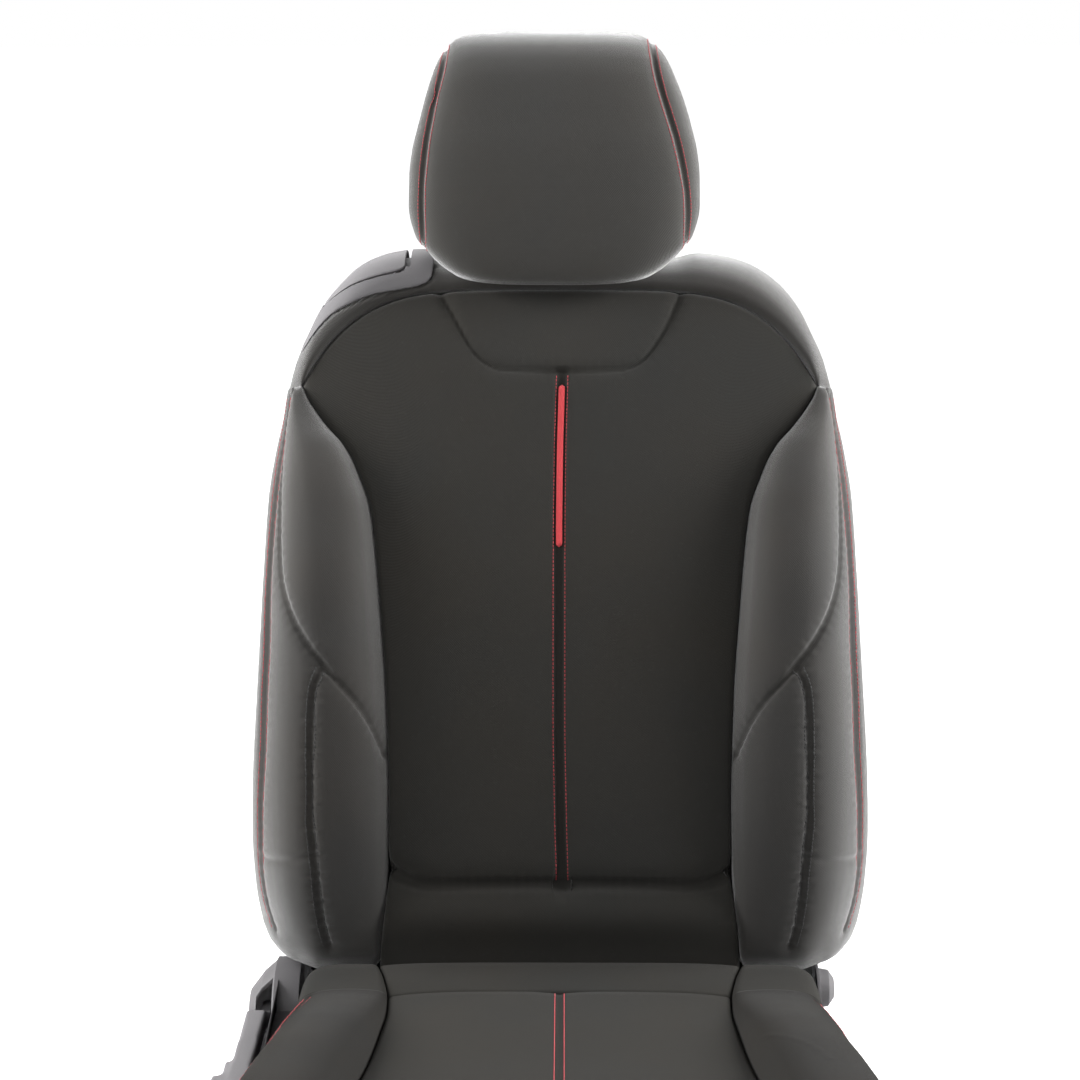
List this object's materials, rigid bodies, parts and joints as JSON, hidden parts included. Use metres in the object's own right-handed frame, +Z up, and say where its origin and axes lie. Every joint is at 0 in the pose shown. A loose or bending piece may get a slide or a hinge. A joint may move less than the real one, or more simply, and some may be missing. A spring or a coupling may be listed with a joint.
{
  "type": "car seat",
  "caption": "Cloth-covered sport front seat on slide rails, with side bolsters, adjustable headrest, reclining backrest, height adjuster and a shoulder release for the backrest.",
  "frame": {"origin": "centre of the four floor bolts, at floor level", "axes": "the sitter faces -Y, +Z is up, +X is the inboard side (the sitter's left), -X the outboard side with the levers"},
  "size_m": [0.5566, 0.8106, 1.0437],
  "materials": {
    "cover_fabric": "fine woven cloth, charcoal",
    "tab_red": "woven red tab",
    "trim_plastic": "grained dark grey",
    "lever_plastic": "grained grey",
    "black_plastic": "grained black",
    "nylon": "natural",
    "frame_steel": "black paint",
    "rail_steel": "black phosphate",
    "bare_steel": "zinc plated",
    "spring_steel": "oiled",
    "post_steel": "polished"
  },
  "bodies": {
    "floor_rails": {"lower_rail_left": "rail_steel", "lower_rail_right": "rail_steel", "rail_foot_front_left": "rail_steel", "rail_foot_front_right": "rail_steel", "rail_foot_rear_left": "rail_steel", "rail_foot_rear_right": "rail_steel", "rail_end_caps": "black_plastic"},
    "carriage": {"upper_rail_left": "rail_steel", "upper_rail_right": "rail_steel", "slide_shoes": "nylon", "link_pins": "bare_steel"},
    "release_bar": {"release_bar": "frame_steel", "rail_latch_left": "bare_steel", "rail_latch_right": "bare_steel"},
    "rear_links": {"rear_link_left": "bare_steel", "rear_link_right": "bare_steel", "rear_cross_tube": "frame_steel"},
    "front_links": {"front_link_left": "bare_steel", "front_link_right": "bare_steel", "front_cross_tube": "frame_steel"},
    "seat_frame": {"seat_side_left": "frame_steel", "seat_side_right": "frame_steel", "seat_pan": "frame_steel", "spring_rod": "frame_steel", "seat_springs": "spring_steel", "cushion_centre": "cover_fabric", "cushion_bolster_left": "cover_fabric", "cushion_bolster_right": "cover_fabric", "cushion_tail": "frame_steel", "outer_valance": "trim_plastic", "inner_valance": "trim_plastic", "recliner_fixed_left": "bare_steel", "recliner_fixed_right": "bare_steel", "height_pump": "bare_steel"},
    "height_lever": {"height_lever": "lever_plastic"},
    "recline_lever": {"recline_lever": "lever_plastic", "recliner_shaft": "bare_steel"},
    "backrest": {"back_side_left": "frame_steel", "back_side_right": "frame_steel", "back_top_tube": "frame_steel", "back_lower_tube": "frame_steel", "back_mat": "spring_steel", "headrest_sleeve_left": "black_plastic", "headrest_sleeve_right": "black_plastic", "back_panel": "black_plastic", "backrest_centre": "cover_fabric", "backrest_bolster_left": "cover_fabric", "backrest_bolster_right": "cover_fabric", "backrest_top": "cover_fabric", "recliner_moving_left": "bare_steel", "recliner_moving_right": "bare_steel", "shoulder_bezel": "trim_plastic", "centre_tab": "tab_red", "release_cable": "black_plastic"},
    "shoulder_lever": {"shoulder_lever": "lever_plastic"},
    "headrest": {"headrest_posts": "post_steel", "headrest_pad": "cover_fabric"},
    "headrest_button": {"headrest_button": "black_plastic"}
  },
  "joints": [
    {"name": "fore_aft", "type": "slide", "parent": "floor_rails", "child": "carriage", "axis": [0, 1, 0], "range_m": [-0.095, 0.095]},
    {"name": "slide_release", "type": "hinge", "parent": "carriage", "child": "release_bar", "pos_m": [0, -0.02, 0.051], "axis": [-1, 0, 0], "range_deg": [0, 4.5], "stiffness_Nm_per_rad": 22, "springref_deg": -5.73},
    {"name": "height", "type": "hinge", "parent": "carriage", "child": "rear_links", "pos_m": [0, 0.14, 0.086], "axis": [1, 0, 0], "range_deg": [-22, 22]},
    {"name": "front_link_pivot", "type": "hinge", "parent": "carriage", "child": "front_links", "pos_m": [0, -0.14, 0.086], "axis": [1, 0, 0], "range_deg": [-22, 22]},
    {"name": "frame_on_links", "type": "hinge", "parent": "rear_links", "child": "seat_frame", "pos_m": [0, 0.18821, 0.14345], "axis": [1, 0, 0], "range_deg": [-22, 22]},
    {"name": "height_lever", "type": "hinge", "parent": "seat_frame", "child": "height_lever", "pos_m": [0, 0.06, 0.168], "axis": [1, 0, 0], "range_deg": [-15, 15], "stiffness_Nm_per_rad": 6},
    {"name": "recline_release", "type": "hinge", "parent": "seat_frame", "child": "recline_lever", "pos_m": [0, 0.21, 0.2], "axis": [-1, 0, 0], "range_deg": [0, 20], "stiffness_Nm_per_rad": 8, "springref_deg": -6.88},
    {"name": "recline", "type": "hinge", "parent": "seat_frame", "child": "backrest", "pos_m": [0, 0.21, 0.2], "axis": [1, 0, 0], "range_deg": [-40, 36], "deforming": ["cushion_tail"]},
    {"name": "shoulder_release", "type": "hinge", "parent": "backrest", "child": "shoulder_lever", "pos_m": [-0.148, 0.44197, 0.83734], "axis": [0, 0.9397, -0.342], "range_deg": [0, 22], "stiffness_Nm_per_rad": 0.6, "springref_deg": -11.46},
    {"name": "headrest_height", "type": "slide", "parent": "backrest", "child": "headrest", "axis": [0, 0.342, 0.9397], "range_m": [0, 0.065]},
    {"name": "headrest_catch", "type": "slide", "parent": "backrest", "child": "headrest_button", "axis": [1, 0, 0], "range_m": [0, 0.003], "stiffness_N_per_m": 900, "springref_m": -0.002}
  ],
  "couplings": [
    {"joint": "frame_on_links", "follows": "height", "ratio": -1},
    {"joint": "front_link_pivot", "follows": "height", "ratio": 1}
  ]
}
